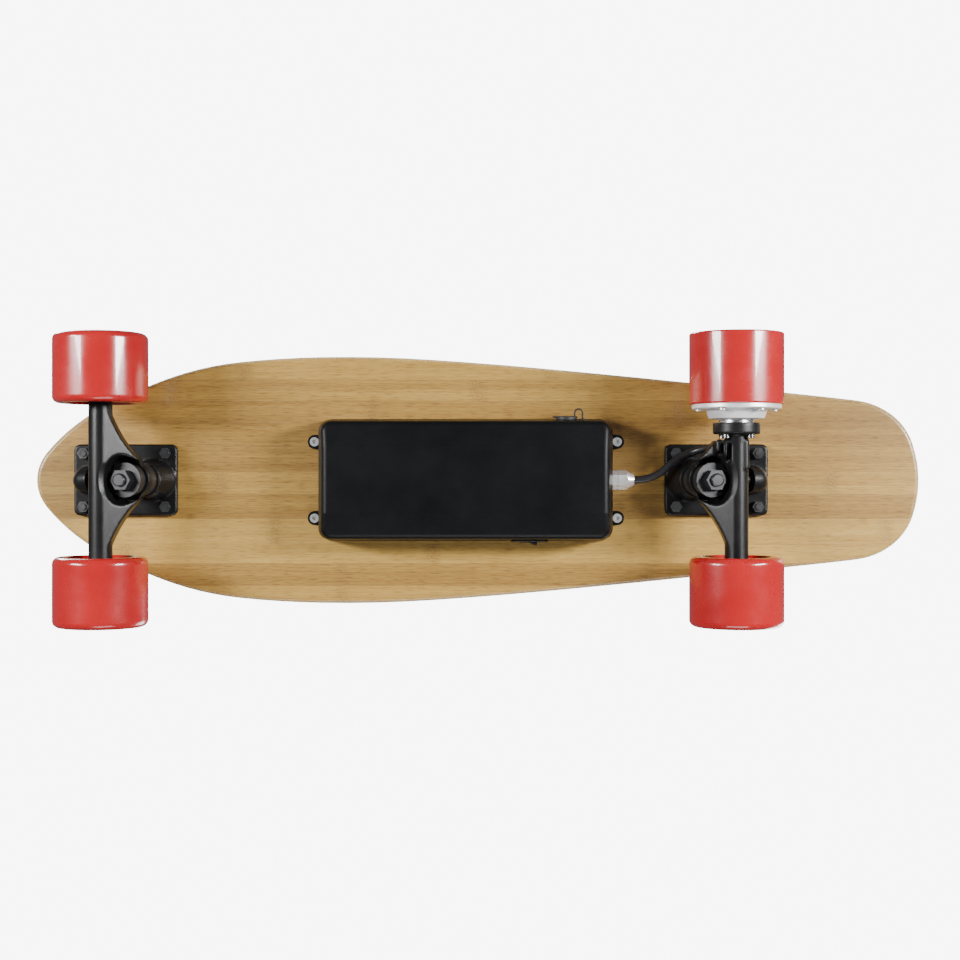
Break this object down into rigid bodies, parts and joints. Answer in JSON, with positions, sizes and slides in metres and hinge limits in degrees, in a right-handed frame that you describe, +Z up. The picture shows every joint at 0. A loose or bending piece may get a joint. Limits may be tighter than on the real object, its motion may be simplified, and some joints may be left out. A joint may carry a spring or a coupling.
{
  "type": "electric skateboard",
  "caption": "Battery-driven cruiser skateboard: wooden deck with grip, two steering trucks, urethane wheels, hub motor and an electronics box under the deck.",
  "frame": {"origin": "on the ground under the middle of the deck's length and width", "axes": "+X from the nose to the tail, +Z up, so -Y is the side of the motor wheel and the charge socket"},
  "size_m": [0.688, 0.218, 0.1012],
  "materials": {
    "axle_steel": "bright turned steel",
    "bearing_steel": "polished bearing steel",
    "black_casting": "satin black powder coat on cast aluminium",
    "black_plastic": "gloss black moulding",
    "black_steel": "black oxide steel",
    "board_green": "glass-fibre circuit board",
    "brass": "turned brass",
    "bushing": "moulded black urethane",
    "cable_sheath": "black silicone sheath",
    "case_plastic": "satin black moulding",
    "cell_wrap": "heat-shrunk sleeve",
    "copper": "enamelled copper wire",
    "deck": "clear satin lacquer over vertical-grain bamboo strips",
    "gasket_foam": "closed-cell foam",
    "grip_tape": "coarse mineral grit on a backing sheet",
    "lamination": "stacked electrical steel",
    "magnet": "nickel-plated magnet",
    "nickel": "thin nickel strip",
    "pad_foam": "soft foam pad",
    "pivot_cup": "moulded nylon",
    "plain_aluminium": "machined and brushed",
    "soft_rubber": "soft moulded rubber",
    "stainless": "stainless screw, plain",
    "wheel_core": "glass-filled nylon",
    "wheel_urethane": "glossy red cast urethane",
    "zinc_steel": "bright zinc plating"
  },
  "bodies": {
    "board": {"deck": "deck", "grip_tape": "grip_tape", "front_baseplate": "black_casting", "rear_baseplate": "black_casting", "pivot_cups": "pivot_cup", "kingpins": "black_steel", "kingpin_nuts": "zinc_steel", "cup_washers": "zinc_steel", "mount_bolts": "black_steel", "mount_nuts": "black_steel", "front_bushings": "bushing", "rear_bushings": "bushing", "enclosure_cover": "case_plastic", "enclosure_gasket": "gasket_foam", "enclosure_screws": "stainless", "enclosure_inserts": "brass", "battery_cells": "cell_wrap", "battery_strips": "nickel", "battery_pads": "pad_foam", "battery_board": "board_green", "controller_board": "board_green", "controller_heat_sink": "plain_aluminium", "receiver_board": "board_green", "charge_socket": "black_plastic", "cap_tether": "soft_rubber", "switch_housing": "black_plastic", "cable_gland": "zinc_steel", "gland_dome_nut": "zinc_steel", "motor_cable": "cable_sheath"},
    "front_truck": {"front_hanger": "black_casting", "front_axle": "axle_steel", "front_axle_nuts": "zinc_steel", "front_bearing_inner_rings": "bearing_steel"},
    "rear_truck": {"rear_hanger": "black_casting", "rear_axle": "axle_steel", "rear_axle_nut": "zinc_steel", "rear_bearing_inner_rings": "bearing_steel", "motor_shaft": "axle_steel", "motor_flange_bolts": "black_steel", "motor_stator": "lamination", "motor_windings": "copper", "cable_grommet": "soft_rubber"},
    "front_left_wheel": {"front_left_tyre": "wheel_urethane", "front_left_wheel_core": "wheel_core", "front_left_bearings": "bearing_steel"},
    "front_right_wheel": {"front_right_tyre": "wheel_urethane", "front_right_wheel_core": "wheel_core", "front_right_bearings": "bearing_steel"},
    "rear_right_wheel": {"rear_right_tyre": "wheel_urethane", "rear_right_wheel_core": "wheel_core", "rear_right_bearings": "bearing_steel"},
    "motor_wheel": {"motor_tyre": "wheel_urethane", "motor_can": "lamination", "motor_magnets": "magnet", "motor_inner_cover": "plain_aluminium", "motor_outer_cover": "plain_aluminium", "motor_bearings": "bearing_steel", "motor_cover_screws": "stainless"},
    "power_rocker": {"power_rocker": "black_plastic"},
    "charge_cap": {"charge_cap": "soft_rubber"}
  },
  "joints": [
    {"name": "front_lean", "type": "hinge", "parent": "board", "child": "front_truck", "pos_m": [-0.2597, 0, 0.054], "axis": [-0.8891, 0, 0.4576], "range_deg": [-12, 12], "stiffness_Nm_per_rad": 40, "deforming": ["front_bushings"]},
    {"name": "rear_lean", "type": "hinge", "parent": "board", "child": "rear_truck", "pos_m": [0.1717, 0, 0.054], "axis": [0.8891, 0, 0.4576], "range_deg": [-12, 12], "stiffness_Nm_per_rad": 40, "deforming": ["rear_bushings", "motor_cable"]},
    {"name": "front_left_spin", "type": "hinge", "parent": "front_truck", "child": "front_left_wheel", "pos_m": [-0.2805, -0.083, 0.035], "axis": [0, 1, 0], "continuous": true},
    {"name": "front_right_spin", "type": "hinge", "parent": "front_truck", "child": "front_right_wheel", "pos_m": [-0.2805, 0.083, 0.035], "axis": [0, 1, 0], "continuous": true},
    {"name": "rear_right_spin", "type": "hinge", "parent": "rear_truck", "child": "rear_right_wheel", "pos_m": [0.1925, 0.083, 0.035], "axis": [0, 1, 0], "continuous": true},
    {"name": "motor_spin", "type": "hinge", "parent": "rear_truck", "child": "motor_wheel", "pos_m": [0.1925, -0.083, 0.035], "axis": [0, 1, 0], "continuous": true},
    {"name": "power_rocker", "type": "hinge", "parent": "board", "child": "power_rocker", "pos_m": [0.0396, 0.04451, 0.07012], "axis": [0, 0.0808, 0.9967], "range_deg": [-20, 0]},
    {"name": "charge_cap", "type": "hinge", "parent": "board", "child": "charge_cap", "pos_m": [0.0782, -0.0468, 0.06993], "axis": [0, -0.0808, 0.9967], "range_deg": [0, 110], "deforming": ["cap_tether"]}
  ]
}
